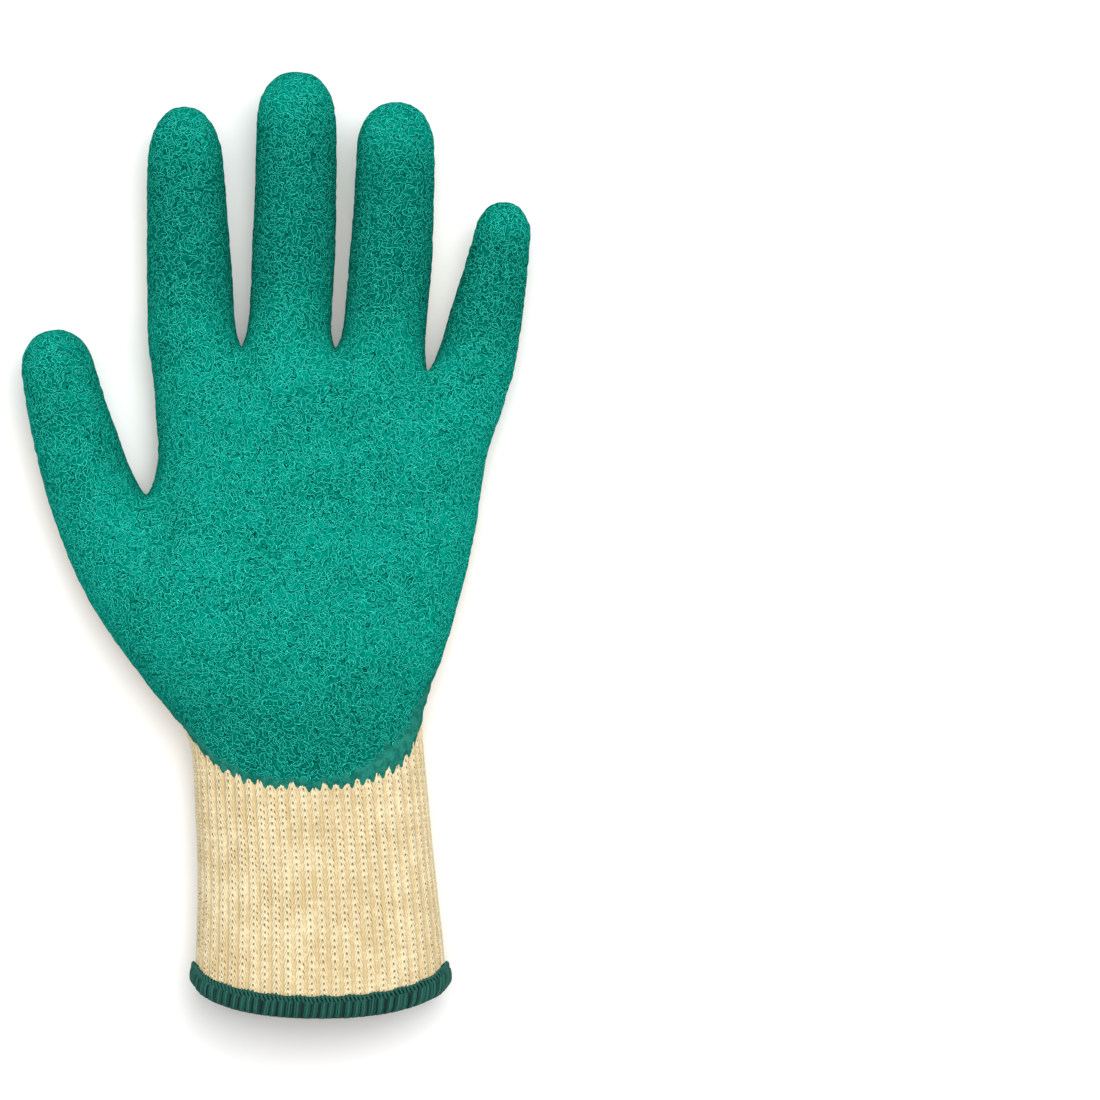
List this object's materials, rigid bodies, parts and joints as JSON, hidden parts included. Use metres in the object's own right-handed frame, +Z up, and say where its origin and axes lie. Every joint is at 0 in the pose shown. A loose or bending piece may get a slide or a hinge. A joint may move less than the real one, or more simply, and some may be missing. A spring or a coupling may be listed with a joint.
{
  "type": "latex coated grip glove",
  "caption": "Left-hand knitted work glove with a crinkled latex palm and fingertips, a bare knit back, a snug knit wrist and an overlocked hem, open at the cuff.",
  "frame": {"origin": "under the middle of the glove's box, on the flat back of the hand that it rests on", "axes": "+Y from the cuff to the fingertips, +Z up out of the palm, +X from the thumb to the little finger"},
  "size_m": [0.137, 0.2552, 0.0375],
  "materials": {
    "knit_yarn": "matt cream knitted yarn",
    "green_latex": "satin crinkled latex, teal green",
    "hem_thread": "matt dark green overlock thread"
  },
  "bodies": {
    "root": {"knit_cuff": "knit_yarn", "knit_hand": "knit_yarn", "knit_thumb": "knit_yarn", "knit_index_finger": "knit_yarn", "knit_middle_finger": "knit_yarn", "knit_ring_finger": "knit_yarn", "knit_little_finger": "knit_yarn", "latex_coating": "green_latex", "overlock_hem": "hem_thread"}
  },
  "joints": []
}
